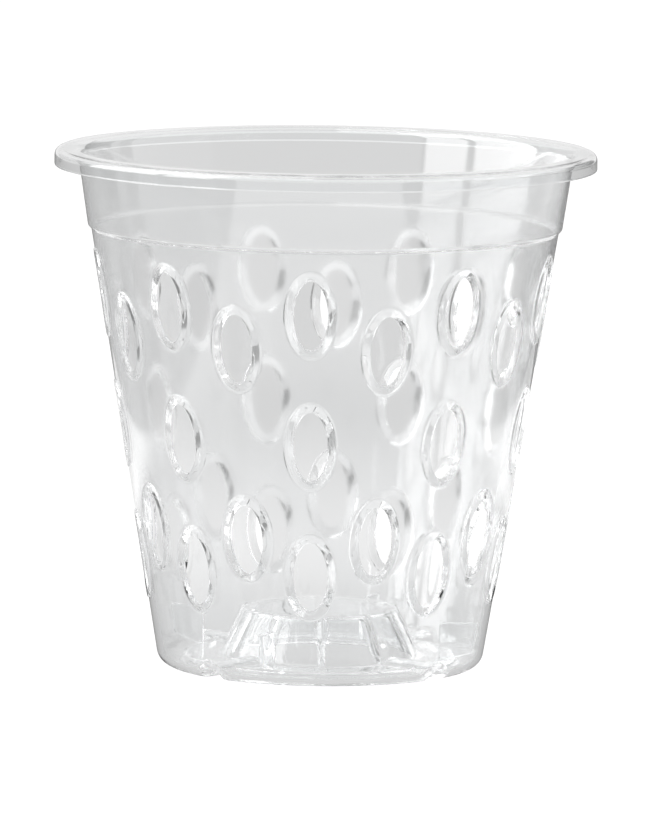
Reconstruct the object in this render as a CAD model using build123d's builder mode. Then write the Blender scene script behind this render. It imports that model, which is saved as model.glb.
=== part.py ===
# A clear moulded orchid pot: a tapered cup with a turned-down rim, a plain band under it, a slotted
# wall whose oval slots have raised bevelled collars, and a raised fluted cone in the floor.
# Millimetres. The pot stands on z = 0 with its axis on Z, and its front is at -Y.

import os
from math import cos, radians, sin, sqrt, tan

from build123d import *

# Driving dimensions
total_height = 143.6
front_angle = -90.0  # the direction of the front, measured from +X

rim_outer_radius = 75.0
rim_overhang = 6.4  # how far the rim stands out past the band's outer face at the flange
rim_bend = 1.5  # inside radius of the bend from the band into the flange
lip_bend = 0.9  # inside radius of the bend from the flange into the lip
lip_height = 4.7  # from the rim's top down to the lip's lower edge
lip_rounding = 0.4  # on the lip's outer lower edge

band_thickness = 1.1
band_bottom_height = 123.0
band_draft = 8.5  # degrees from upright
step_drop = 2.2  # height of the small inward step under the band
step_width = 1.15  # how far that step goes in

wall_thickness = 1.5
wall_draft = 9.3  # degrees from upright

slot_columns = 9
slot_width = 9.2
slot_length = 19.4
collar_width = 2.7
collar_height = 0.75
collar_edge = 0.15  # height of the collar's upright outer edge
collar_crest = 0.35  # width of the flat crest beside the slot
top_row_margin = 16.7  # from the wall's top down to the middle of the first row of slots
bottom_row_margin = 23.2  # from the base ring up to the middle of the fifth row
row_stagger = 9.9  # height between the first and second rows, and the fourth and fifth

corner_radius = 4.5
base_top_height = 8.0  # where the base ring hands over to the slotted wall
foot_width = 4.2
floor_top_height = 3.4
floor_thickness = 1.2

floor_width = 9.57  # the flat ring of floor between the foot's riser and the cone
cone_lean = 5.9  # how far the cone's side leans in from its foot to its top
cone_top_height = 16.3
cap_thickness = 1.2
cap_rounding = 0.7

rib_count = 10
rib_width = 2.4
rib_depth = 0.9
rib_turn = 4.4  # degrees from the front to the first rib

tunnel_count = 4
tunnel_radius = 5.0
tunnel_turn = 50.6  # degrees from the front to the first drain tunnel

lug_count = 4
lug_turn = -17.6  # degrees from the front to the first stacking lug
lug_thickness = 1.2
lug_reach = 9.6  # how far a lug stands in from the wall's outer line at the standing plane
lug_top_height = 14.2

# Slopes of the two tapered walls, and the length of a slanted step for each unit of height
band_slope = tan(radians(band_draft))
wall_slope = tan(radians(wall_draft))
wall_slant = sqrt(1 + wall_slope**2)
band_slant = sqrt(1 + band_slope**2)

wall_top_height = band_bottom_height - step_drop
lip_bottom_height = total_height - lip_height
flange_under_height = total_height - band_thickness
lip_inner_radius = rim_outer_radius - band_thickness

# Radii that follow from the rim: the band hangs in from it, and the wall in from the band.
# The wall's foot radius is its outer line, carried down to the standing plane.
band_top_radius = rim_outer_radius - rim_overhang
band_bottom_radius = band_top_radius - band_slope * (flange_under_height - band_bottom_height)
wall_foot_radius = band_bottom_radius - step_width - wall_slope * wall_top_height
lug_inner_radius = wall_foot_radius - lug_reach

past_the_wall = 4 * wall_thickness  # how far a cut runs past the faces that it has to clear


def wall_radius(height):
    """Outer radius of the slotted wall at a height."""
    return wall_foot_radius + wall_slope * height


def band_radius(height):
    """Outer radius of the plain band at a height."""
    return band_bottom_radius + band_slope * (height - band_bottom_height)


def inside_wall(height):
    """The point of the wall's inner face that lies square behind the outer face at a height."""
    inset = wall_thickness / wall_slant
    return (wall_radius(height) - inset, height + inset * wall_slope)


def inside_band(height):
    """The point of the band's inner face that lies square behind the outer face at a height."""
    inset = band_thickness / band_slant
    return (band_radius(height) - inset, height + inset * band_slope)


def slot_plane(height, turn):
    """A plane inside the pot that looks square out through the middle of a slot in the wall."""
    radius = wall_radius(height)
    angle = radians(front_angle + turn)
    outward = (cos(angle) / wall_slant, sin(angle) / wall_slant, -wall_slope / wall_slant)
    touching = Plane(
        origin=(radius * cos(angle), radius * sin(angle), height),
        x_dir=(-sin(angle), cos(angle), 0),
        z_dir=outward,
    )
    return touching.offset(-past_the_wall)


def radial_planes(count, turn):
    """Upright planes through the axis, spread evenly round it, with their x outwards and their y up."""
    angles = [radians(front_angle + turn + step * 360 / count) for step in range(count)]
    return [Plane((0, 0, 0), x_dir=(cos(a), sin(a), 0), z_dir=(sin(a), -cos(a), 0)) for a in angles]


# The height of each row of slots, and its turn from the front: even rows sit between columns
column_pitch = 360 / slot_columns
first_row_height = wall_top_height - top_row_margin
last_row_height = base_top_height + bottom_row_margin
slot_rows = [
    (first_row_height, 0),
    (first_row_height - row_stagger, column_pitch / 2),
    ((first_row_height + last_row_height) / 2, 0),
    (last_row_height + row_stagger, column_pitch / 2),
    (last_row_height, 0),
]

# Rim flange: the band's sheet, bent outwards into a flat ring
bend_height = flange_under_height - rim_bend
bend_in = cos(radians(band_draft))
bend_up = sin(radians(band_draft))
bend_radius = band_radius(bend_height + rim_bend * bend_up) + rim_bend * bend_in
outer_bend = rim_bend + band_thickness
flange_end_radius = lip_inner_radius - lip_bend

with BuildPart() as rim_flange:
    with BuildSketch(Plane.XZ):
        with BuildLine():
            under_arc = CenterArc((bend_radius, bend_height), rim_bend, 90, 90 - band_draft)
            upper_arc = CenterArc((bend_radius, bend_height), outer_bend, 90, 90 - band_draft)
            Line(under_arc @ 1, upper_arc @ 1)
            Polyline(
                upper_arc @ 0,
                (flange_end_radius, total_height),
                (flange_end_radius, flange_under_height),
                under_arc @ 0,
            )
        make_face()
    revolve(axis=Axis.Z)

# Rim lip: the skirt that turns down from the flange's outer edge
lip_bend_centre = (flange_end_radius, flange_under_height - lip_bend)

with BuildPart() as rim_lip:
    with BuildSketch(Plane.XZ) as lip_profile:
        with BuildLine():
            inner_arc = CenterArc(lip_bend_centre, lip_bend, 0, 90)
            outer_arc = CenterArc(lip_bend_centre, lip_bend + band_thickness, 0, 90)
            Line(inner_arc @ 1, outer_arc @ 1)
            Polyline(
                outer_arc @ 0,
                (rim_outer_radius, lip_bottom_height),
                (lip_inner_radius, lip_bottom_height),
                inner_arc @ 0,
            )
        make_face()
        fillet(lip_profile.vertices().group_by(Axis.Y)[0].sort_by(Axis.X)[-1], lip_rounding)
    revolve(axis=Axis.Z)

# Collar band: the plain tapered band between the bend of the rim and the step
with BuildPart() as collar_band:
    with BuildSketch(Plane.XZ):
        with BuildLine():
            Polyline(
                (band_bottom_radius, band_bottom_height),
                (bend_radius - rim_bend * bend_in, bend_height + rim_bend * bend_up),
                (bend_radius - outer_bend * bend_in, bend_height + outer_bend * bend_up),
                inside_band(band_bottom_height),
                close=True,
            )
        make_face()
    revolve(axis=Axis.Z)

# Step ledge: the short inward step on which stacked pots rest
with BuildPart() as step_ledge:
    with BuildSketch(Plane.XZ):
        with BuildLine():
            Polyline(
                (wall_radius(wall_top_height), wall_top_height),
                (band_bottom_radius, band_bottom_height),
                inside_band(band_bottom_height),
                inside_wall(wall_top_height),
                close=True,
            )
        make_face()
    revolve(axis=Axis.Z)

# Slotted wall: the tapered wall, with five staggered rows of oval slots cut square through it
with BuildPart() as slotted_wall:
    with BuildSketch(Plane.XZ):
        with BuildLine():
            Polyline(
                (wall_radius(base_top_height), base_top_height),
                (wall_radius(wall_top_height), wall_top_height),
                inside_wall(wall_top_height),
                inside_wall(base_top_height),
                close=True,
            )
        make_face()
    revolve(axis=Axis.Z)
    for height, turn in slot_rows:
        row_planes = [slot_plane(height, turn + step * column_pitch) for step in range(slot_columns)]
        with BuildSketch(*row_planes):
            Ellipse(slot_width / 2, slot_length / 2)
        extrude(amount=2 * past_the_wall, mode=Mode.SUBTRACT)

# The wall's outer face as a plain cone, and the same cone grown out to the collars' crests
with BuildPart() as wall_core:
    with BuildSketch(Plane.XZ):
        with BuildLine():
            Polyline(
                (0, 0),
                (wall_foot_radius, 0),
                (wall_radius(total_height), total_height),
                (0, total_height),
                close=True,
            )
        make_face()
    revolve(axis=Axis.Z)

crest_growth = collar_height * wall_slant

with BuildPart() as crest_core:
    with BuildSketch(Plane.XZ):
        with BuildLine():
            Polyline(
                (0, 0),
                (wall_foot_radius + crest_growth, 0),
                (wall_radius(total_height) + crest_growth, total_height),
                (0, total_height),
                close=True,
            )
        make_face()
    revolve(axis=Axis.Z)


def make_collar(height, turn):
    """One raised ring round a slot, bevelled from its crest down to its outer edge."""
    with BuildPart() as collar:
        with BuildSketch(slot_plane(height, turn)):
            Ellipse(slot_width / 2 + collar_width, slot_length / 2 + collar_width)
            Ellipse(slot_width / 2, slot_length / 2, mode=Mode.SUBTRACT)
        extrude(amount=2 * past_the_wall)
        add(crest_core.part, mode=Mode.INTERSECT)
        add(wall_core.part, mode=Mode.SUBTRACT)
        crest = collar.faces().filter_by(GeomType.CONE).sort_by(SortBy.AREA)[0]
        outer_edge = crest.outer_wire().edges()
        chamfer(
            outer_edge,
            length=collar_width - collar_crest,
            length2=collar_height - collar_edge,
            reference=crest,
        )
    return collar.part


collar_rows = []
for row, (height, turn) in enumerate(slot_rows, start=1):
    one_collar = make_collar(height, turn)
    with BuildPart() as collar_row:
        with PolarLocations(0, slot_columns):
            add(one_collar)
    collar_row.part.label = f"slot_collars_row_{row}"
    collar_rows.append(collar_row.part)

# Drain tunnels' spaces: round bars along the radial lines where the tunnels run
with BuildPart() as tunnel_space:
    with PolarLocations(0, tunnel_count, start_angle=front_angle + tunnel_turn):
        Cylinder(
            tunnel_radius,
            wall_radius(base_top_height) + past_the_wall,
            rotation=(0, 90, 0),
            align=(Align.CENTER, Align.CENTER, Align.MIN),
        )

tunnel_inner_radius = tunnel_radius - wall_thickness

with BuildPart() as tunnel_bore:
    with PolarLocations(0, tunnel_count, start_angle=front_angle + tunnel_turn):
        Cylinder(
            tunnel_inner_radius,
            wall_radius(base_top_height) + past_the_wall,
            rotation=(0, 90, 0),
            align=(Align.CENTER, Align.CENTER, Align.MIN),
        )

# The rounded corner's centre, and the points where its arcs meet the wall
corner_centre_radius = wall_foot_radius + corner_radius * (wall_slope - wall_slant)
inner_corner_radius = corner_radius - wall_thickness
foot_inner_radius = corner_centre_radius - foot_width
cone_base_radius = foot_inner_radius - floor_width
cone_top_radius = cone_base_radius - cone_lean
corner_outer = (
    corner_centre_radius + corner_radius / wall_slant,
    corner_radius - corner_radius * wall_slope / wall_slant,
)
corner_inner = (
    corner_centre_radius + inner_corner_radius / wall_slant,
    corner_radius - inner_corner_radius * wall_slope / wall_slant,
)

# Base corner: the rounded heel of the wall, the flat foot and the riser that carries the floor
with BuildPart() as base_corner:
    with BuildSketch(Plane.XZ):
        with BuildLine():
            Line((wall_radius(base_top_height), base_top_height), corner_outer)
            RadiusArc(corner_outer, (corner_centre_radius, 0), corner_radius)
            Polyline(
                (corner_centre_radius, 0),
                (foot_inner_radius, 0),
                (foot_inner_radius, floor_top_height),
                (foot_inner_radius + wall_thickness, floor_top_height),
                (foot_inner_radius + wall_thickness, wall_thickness),
                (corner_centre_radius, wall_thickness),
            )
            RadiusArc((corner_centre_radius, wall_thickness), corner_inner, -inner_corner_radius)
            Line(corner_inner, inside_wall(base_top_height))
            Line(inside_wall(base_top_height), (wall_radius(base_top_height), base_top_height))
        make_face()
    revolve(axis=Axis.Z)
    add(tunnel_space.part, mode=Mode.SUBTRACT)

# Floor plate: the flat ring between the riser and the cone
with BuildPart() as floor_plate:
    with BuildSketch(Plane.XY.offset(floor_top_height - floor_thickness)):
        Circle(foot_inner_radius)
        Circle(cone_base_radius, mode=Mode.SUBTRACT)
    extrude(amount=floor_thickness)
    add(tunnel_space.part, mode=Mode.SUBTRACT)

# The cone's outer faces as a solid, and the wall and cap that it is made of
cap_under_height = cone_top_height - cap_thickness
floor_under_height = floor_top_height - floor_thickness

with BuildPart() as cone_core:
    with BuildSketch(Plane.XZ):
        with BuildLine():
            Polyline(
                (0, 0),
                (cone_base_radius, 0),
                (cone_base_radius, floor_top_height),
                (cone_top_radius, cap_under_height),
                (0, cap_under_height),
                close=True,
            )
        make_face()
    revolve(axis=Axis.Z)

with BuildPart() as cone_wall:
    with BuildSketch(Plane.XZ):
        with BuildLine():
            Polyline(
                (cone_base_radius, floor_under_height),
                (cone_base_radius, floor_top_height),
                (cone_top_radius, cap_under_height),
                (cone_top_radius - wall_thickness, cap_under_height),
                (cone_base_radius - wall_thickness, floor_top_height),
                (cone_base_radius - wall_thickness, floor_under_height),
                close=True,
            )
        make_face()
    revolve(axis=Axis.Z)
    add(tunnel_bore.part, mode=Mode.SUBTRACT)

with BuildPart() as cone_cap:
    with BuildSketch(Plane.XY.offset(cap_under_height)):
        Circle(cone_top_radius)
    extrude(amount=cap_thickness)
    fillet(cone_cap.edges().group_by(Axis.Z)[-1], cap_rounding)

# Cone ribs: upright flutes on the cone, cut off above the tunnels where the two meet
with BuildPart() as cone_ribs:
    with BuildSketch(*radial_planes(rib_count, rib_turn)):
        with BuildLine():
            Polyline(
                (cone_top_radius - rib_depth, floor_top_height),
                (cone_base_radius + rib_depth, floor_top_height),
                (cone_top_radius + rib_depth, cap_under_height),
                (cone_top_radius - rib_depth, cap_under_height),
                close=True,
            )
        make_face()
    extrude(amount=rib_width / 2, both=True)
    add(cone_core.part, mode=Mode.SUBTRACT)
    add(tunnel_space.part, mode=Mode.SUBTRACT)

# Drain tunnels: half-round roofs from the cone's foot out through the rounded corner
with BuildPart() as drain_tunnels:
    with BuildSketch(Plane.XZ):
        with BuildLine():
            Polyline(
                (0, base_top_height),
                (0, 0),
                (corner_centre_radius, 0),
            )
            RadiusArc((corner_centre_radius, 0), corner_outer, -corner_radius)
            Line(corner_outer, (wall_radius(base_top_height), base_top_height))
            Line((wall_radius(base_top_height), base_top_height), (0, base_top_height))
        make_face()
    revolve(axis=Axis.Z)
    add(tunnel_space.part, mode=Mode.INTERSECT)
    add(tunnel_bore.part, mode=Mode.SUBTRACT)
    add(cone_core.part, mode=Mode.SUBTRACT)

# Stacking lugs: thin upright plates that stand in the corner, clear of the tunnels
half_wall = wall_thickness / 2

with BuildPart() as stacking_lugs:
    with BuildSketch(*radial_planes(lug_count, lug_turn)):
        with BuildLine():
            Polyline(
                (lug_inner_radius, floor_top_height),
                (lug_inner_radius, lug_top_height),
                (wall_radius(lug_top_height) - half_wall, lug_top_height),
                (wall_radius(floor_top_height) - half_wall, floor_top_height),
                (corner_centre_radius, half_wall),
                (foot_inner_radius + half_wall, half_wall),
                (foot_inner_radius + half_wall, floor_top_height),
                close=True,
            )
        make_face()
    extrude(amount=lug_thickness / 2, both=True)
    add(base_corner.part, mode=Mode.SUBTRACT)
    add(slotted_wall.part, mode=Mode.SUBTRACT)

os.makedirs("parts", exist_ok=True)
named_parts = {
    "rim_flange": rim_flange.part,
    "rim_lip": rim_lip.part,
    "collar_band": collar_band.part,
    "step_ledge": step_ledge.part,
    "slotted_wall": slotted_wall.part,
    "base_corner": base_corner.part,
    "floor_plate": floor_plate.part,
    "cone_wall": cone_wall.part,
    "cone_cap": cone_cap.part,
    "cone_ribs": cone_ribs.part,
    "drain_tunnels": drain_tunnels.part,
    "stacking_lugs": stacking_lugs.part,
}
for name, piece in named_parts.items():
    piece.label = name
    export_step(piece, f"parts/{name}.step")
for piece in collar_rows:
    export_step(piece, f"parts/{piece.label}.step")
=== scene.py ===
"""A clear moulded orchid pot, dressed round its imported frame.

One glass-clear shell has a turned-down rim, staggered oval slots in bevelled collars and a fluted
cone in its floor. Four stacking lugs stand inside its foot, and a white studio goes round it.
"""

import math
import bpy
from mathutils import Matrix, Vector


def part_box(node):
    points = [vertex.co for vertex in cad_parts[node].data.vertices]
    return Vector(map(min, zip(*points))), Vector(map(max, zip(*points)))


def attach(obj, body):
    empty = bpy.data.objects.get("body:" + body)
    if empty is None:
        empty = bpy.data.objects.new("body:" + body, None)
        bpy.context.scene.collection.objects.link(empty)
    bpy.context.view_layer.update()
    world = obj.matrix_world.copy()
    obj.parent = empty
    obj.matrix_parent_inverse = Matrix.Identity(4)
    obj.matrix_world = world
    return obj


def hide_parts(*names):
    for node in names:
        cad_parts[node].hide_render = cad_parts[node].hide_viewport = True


bl_info = {
    "name": "Clear Orchid Pot",
    "version": (1, 0, 0),
    "blender": (4, 5, 0),
    "location": "View3D > Sidebar > Orchid Pot",
    "description": "Builds a clear slotted orchid pot and a white studio round its packed frame",
    "category": "Add Mesh",
}

import bmesh
import bpy
import numpy as np
from bpy.props import FloatProperty, FloatVectorProperty, IntProperty, PointerProperty
from bpy.types import Operator, Panel, PropertyGroup
from mathutils import Matrix

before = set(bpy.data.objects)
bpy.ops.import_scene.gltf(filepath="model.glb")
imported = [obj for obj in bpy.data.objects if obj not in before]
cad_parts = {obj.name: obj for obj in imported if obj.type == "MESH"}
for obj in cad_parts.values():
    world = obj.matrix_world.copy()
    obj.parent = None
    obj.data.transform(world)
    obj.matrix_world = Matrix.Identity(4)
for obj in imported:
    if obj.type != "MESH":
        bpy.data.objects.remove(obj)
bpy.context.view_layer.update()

MM = 0.001
SHELL_NODES = [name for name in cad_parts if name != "stacking_lugs"]

RIM_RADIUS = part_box("rim_lip")[1][0]
RIM_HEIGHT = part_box("rim_flange")[1][2]
LIP_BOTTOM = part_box("rim_lip")[0][2]
BAND_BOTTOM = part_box("collar_band")[0][2]
WALL_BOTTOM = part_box("slotted_wall")[0][2]
CONE_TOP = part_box("cone_cap")[1][2]
LUG_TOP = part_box("stacking_lugs")[1][2]

# The mesh.
WELD = 0.002 * MM  # points nearer than this are joined
SHARP_ANGLE = math.radians(40.0)
COLLAR_MASK = "collar"  # point attribute: one on the collars, none on the plain plastic
STRIP_STEPS = 14  # columns of points across the width of one slot's strip of wall
SIDE_STEPS = (16, 8, 8, 14)  # points up a cell's side from each height where cells meet
SLOT_EDGE = 0.5 * MM  # thickness that is left round a slot
FLAT_MARGIN = 0.15 * MM  # from a bend to the first points of the flat face beside it
STEP_POINTS = 9
STEP_FLAT = 0.2  # share of the step's drop that runs on straight at each end
LIP_EDGE = 0.35 * MM  # rounding of the lip's lower edges
FLOOR_ROUND = 0.5 * MM  # rounding where the riser meets the foot and the floor
CAP_EDGE = 1.0 * MM  # rounding from the cone's side into its cap
RIB_FADE = 1.5 * MM  # height over which a rib grows out of the floor
RIB_LIMIT = 2.0 * MM  # how far out past the cone's foot a rib may reach
TUNNEL_BLEND = 0.4 * MM  # rounding between a tunnel's roof and the floor
TUNNEL_START = 4.0 * MM  # how far inside the cone's foot a tunnel starts
TUNNEL_FADE = 2.0 * MM  # length over which a tunnel's roof rises from its start
TUNNEL_LEAST = 0.2 * MM  # lower roofs leave the floor as it is
TUNNEL_CLEAR = 1.0 * MM  # height over the roof above which nothing is lifted
LUG_GAP = 0.03 * MM  # hair gap between a lug and the shell
LUG_ROUND = 1.5 * MM  # rounding of a lug's upper corner
LUG_HEEL = 1.5 * MM  # height over the heel at which a lug leaves the wall

# A lug's rings from the middle of one side to the middle of the other: the outline's scale, and the
# place across the thickness from -1 to 1.
LUG_SCALE = (0.0, 0.45, 0.9, 0.95, 0.985, 1.0, 1.0, 0.985, 0.95, 0.9, 0.45, 0.0)
LUG_SIDE = (-1.0, -1.0, -1.0, -0.97, -0.84, -0.6, 0.6, 0.84, 0.97, 1.0, 1.0, 1.0)

# The plastic's skin.
WAVE_NOISE = {"Scale": 55.0, "Detail": 1.5, "Roughness": 0.4}
HAZE_NOISE = {"Scale": 38.0, "Detail": 4.0}
FLECK_NOISE = {"Scale": 330.0, "Detail": 2.0}
HAZE_FROM_TO = (0.5, 0.85)  # noise values between which the haze comes in
FROST_HEIGHTS = (0.026, 0.135)  # the plain wall, above the base and below the rim
FROST_SOFTNESS = 0.004
SHADOW_TINT = (0.94, 0.945, 0.95)  # share of lamp light that passes one face

# The studio's floor. Distances are from the pot's axis, in metres.
FLOOR_GAP = 0.05 * MM  # keeps the floor just clear of the foot's flat face
FLOOR_POINTS = 9
FLOOR_WHITE = 1.04
FLOOR_MATT = 0.18  # share of the floor that takes the pot's shadow
# painted light: to the plastic the floor is grey, brighter near the pot and dimmer far off
TONE_REACH = (0.25, 0.65)  # where the floor turns from its near tone to its far tone
# painted shade: the floor under and beside the pot, as the plastic shows it
SHADE_REACH = (0.055, 0.24)  # where the shade under and beside the pot ends
# painted reflection of a lit board round the pot, with painted shade near the pot
BOARD_SHADE = (0.2, 0.28)  # where the board comes out of the pot's shade
BOARD_FALL = (0.1, 0.28)  # behind the pot, where the board turns dimmer
BOARD_SOFTNESS = 0.006
# Strips of painted light on the left and painted shade on the right of the floor, as the plastic
# shows it: from and to across, and where they start behind the pot.
PAINTED_SIDE_STRIPS = ((-0.36, -0.135, 0.12), (0.135, 0.36, 0.3))
STRIP_END = 1.1
STRIP_SOFTNESS = 0.025

# The studio's light. Panels are (turn from, turn to, height from, height to, brightness), with
# angles in degrees. Turns run from the camera's side to the right, heights from the horizon up.
STUDIO_TONE = 0.5
STUDIO_PANELS = (
    (-44.0, 60.0, 2.0, 45.0, 0.6),
    (60.0, 110.0, 2.0, 45.0, 0.8),
    (-69.0, -46.0, -4.0, 60.0, 3.5),
    (-117.0, -73.5, 3.0, 60.0, 3.5),
    (120.0, 200.0, -90.0, 60.0, 0.36),
    (-200.0, -120.0, -90.0, 60.0, 0.36),
    (128.0, 165.0, 0.0, 22.0, -0.7),
)
PANEL_SOFTNESS = 1.2
LAMP_SIDE = 0.9
LAMP_POWER = 6.0
LAMP_PLACE = (-0.5, -0.2, 1.6)
LAMP_TILT = (math.radians(-7.0), math.radians(-17.0), 0.0)
SENSOR_WIDTH = 36.0
CLIP_END = 60.0
LIGHT_BOUNCES = 48  # light turns many times inside the plastic's thin edges


class RimSizes(PropertyGroup):
    """Sizes of the rim, the plain band under it and the small step."""

    overhang: FloatProperty(
        name="Overhang",
        description="How far the rim stands out past the band",
        default=6.4 * MM,
        unit="LENGTH",
    )
    thickness: FloatProperty(
        name="Thickness",
        description="Thickness of the band, the flange and the lip",
        default=1.1 * MM,
        unit="LENGTH",
    )
    bend: FloatProperty(
        name="Bend",
        description="Inside radius of the bend from the band into the flange",
        default=1.5 * MM,
        unit="LENGTH",
    )
    lip_bend: FloatProperty(
        name="Lip bend",
        description="Inside radius of the bend from the flange into the lip",
        default=0.9 * MM,
        unit="LENGTH",
    )
    band_draft: FloatProperty(
        name="Band draft",
        description="Lean of the plain band from upright",
        default=math.radians(8.5),
        unit="ROTATION",
    )
    step_drop: FloatProperty(
        name="Step drop",
        description="Height of the rounded step under the band",
        default=2.2 * MM,
        unit="LENGTH",
    )
    step_width: FloatProperty(
        name="Step width",
        description="How far the step goes in",
        default=1.15 * MM,
        unit="LENGTH",
    )


class SlotSizes(PropertyGroup):
    """Sizes of the slotted wall, its slots and their collars."""

    wall_thickness: FloatProperty(
        name="Wall thickness",
        description="Thickness of the slotted wall",
        default=1.5 * MM,
        unit="LENGTH",
    )
    wall_draft: FloatProperty(
        name="Wall draft",
        description="Lean of the slotted wall from upright",
        default=math.radians(9.3),
        unit="ROTATION",
    )
    columns: IntProperty(
        name="Columns",
        description="Slots in each of the five rows",
        default=9,
    )
    width: FloatProperty(
        name="Slot width",
        description="Width of a slot",
        default=9.2 * MM,
        unit="LENGTH",
    )
    length: FloatProperty(
        name="Slot length",
        description="Length of a slot along the wall",
        default=19.4 * MM,
        unit="LENGTH",
    )
    collar_width: FloatProperty(
        name="Collar width",
        description="Width of the bevelled collar round a slot",
        default=2.7 * MM,
        unit="LENGTH",
    )
    collar_height: FloatProperty(
        name="Collar height",
        description="How far the bead round a collar stands out from the wall",
        default=0.4 * MM,
        unit="LENGTH",
    )
    top_margin: FloatProperty(
        name="Top margin",
        description="From the wall's top down to the middle of the first row",
        default=16.7 * MM,
        unit="LENGTH",
    )
    bottom_margin: FloatProperty(
        name="Bottom margin",
        description="From the wall's lower end up to the middle of the fifth row",
        default=23.2 * MM,
        unit="LENGTH",
    )
    stagger: FloatProperty(
        name="Row stagger",
        description="Height between the first and second rows, and the fourth and fifth",
        default=9.9 * MM,
        unit="LENGTH",
    )


class BaseSizes(PropertyGroup):
    """Sizes of the foot, the floor, the fluted cone, the drain tunnels and the lugs."""

    corner: FloatProperty(
        name="Corner",
        description="Radius of the rounded heel",
        default=4.5 * MM,
        unit="LENGTH",
    )
    foot_width: FloatProperty(
        name="Foot width",
        description="Width of the flat ring that the pot stands on",
        default=4.2 * MM,
        unit="LENGTH",
    )
    floor_top: FloatProperty(
        name="Floor height",
        description="Height of the floor's upper face",
        default=3.4 * MM,
        unit="LENGTH",
    )
    floor_thickness: FloatProperty(
        name="Floor thickness",
        description="Thickness of the floor and the cone's cap",
        default=1.2 * MM,
        unit="LENGTH",
    )
    floor_width: FloatProperty(
        name="Floor width",
        description="Width of the flat floor between the foot and the cone",
        default=9.57 * MM,
        unit="LENGTH",
    )
    cone_lean: FloatProperty(
        name="Cone lean",
        description="How far the cone's side leans in from its foot to its top",
        default=5.9 * MM,
        unit="LENGTH",
    )
    rib_count: IntProperty(
        name="Ribs",
        description="Upright ribs on the cone",
        default=10,
    )
    rib_width: FloatProperty(
        name="Rib width",
        description="Width of a rib at its foot",
        default=2.6 * MM,
        unit="LENGTH",
    )
    rib_depth: FloatProperty(
        name="Rib depth",
        description="How far a rib stands out from the cone",
        default=1.3 * MM,
        unit="LENGTH",
    )
    rib_turn: FloatProperty(
        name="Rib turn",
        description="Turn of the first rib from the front",
        default=math.radians(4.4),
        unit="ROTATION",
    )
    tunnel_count: IntProperty(
        name="Tunnels",
        description="Drain tunnels under the floor",
        default=4,
    )
    tunnel_radius: FloatProperty(
        name="Tunnel radius",
        description="Radius of a tunnel's roof",
        default=5.0 * MM,
        unit="LENGTH",
    )
    tunnel_turn: FloatProperty(
        name="Tunnel turn",
        description="Turn of the first tunnel from the front",
        default=math.radians(50.6),
        unit="ROTATION",
    )
    lug_count: IntProperty(
        name="Lugs",
        description="Stacking lugs inside the foot of the wall",
        default=4,
    )
    lug_thickness: FloatProperty(
        name="Lug thickness",
        description="Thickness of a lug",
        default=1.2 * MM,
        unit="LENGTH",
    )
    lug_reach: FloatProperty(
        name="Lug reach",
        description="How far a lug stands in from the wall's outer line",
        default=9.6 * MM,
        unit="LENGTH",
    )
    lug_turn: FloatProperty(
        name="Lug turn",
        description="Turn of the first lug from the front",
        default=math.radians(-17.6),
        unit="ROTATION",
    )


class PlasticLooks(PropertyGroup):
    """Finish of the clear moulded plastic."""

    tint: FloatVectorProperty(
        name="Tint",
        description="Colour of light that passes through the plastic",
        default=(0.985, 0.99, 0.992),
        size=3,
        subtype="COLOR",
        min=0.0,
        max=1.0,
    )
    index: FloatProperty(
        name="Refractive index",
        description="Refractive index of the plastic",
        default=1.5,
    )
    gloss: FloatProperty(
        name="Roughness",
        description="Roughness of the rim, the collars and the base, which the mould polishes",
        default=0.02,
    )
    frost: FloatProperty(
        name="Wall roughness",
        description="Roughness of the plain wall between the collars",
        default=0.07,
    )
    haze: FloatProperty(
        name="Haze",
        description="Extra roughness where the skin is least glossy",
        default=0.01,
    )
    ripple: FloatProperty(
        name="Ripple",
        description="Height of the faint waves in the moulded skin",
        default=0.01 * MM,
        unit="LENGTH",
    )
    mottle: FloatProperty(
        name="Mottle",
        description="Height of the flecks on the collars, as a share of the ripple",
        default=5.0,
    )


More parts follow.
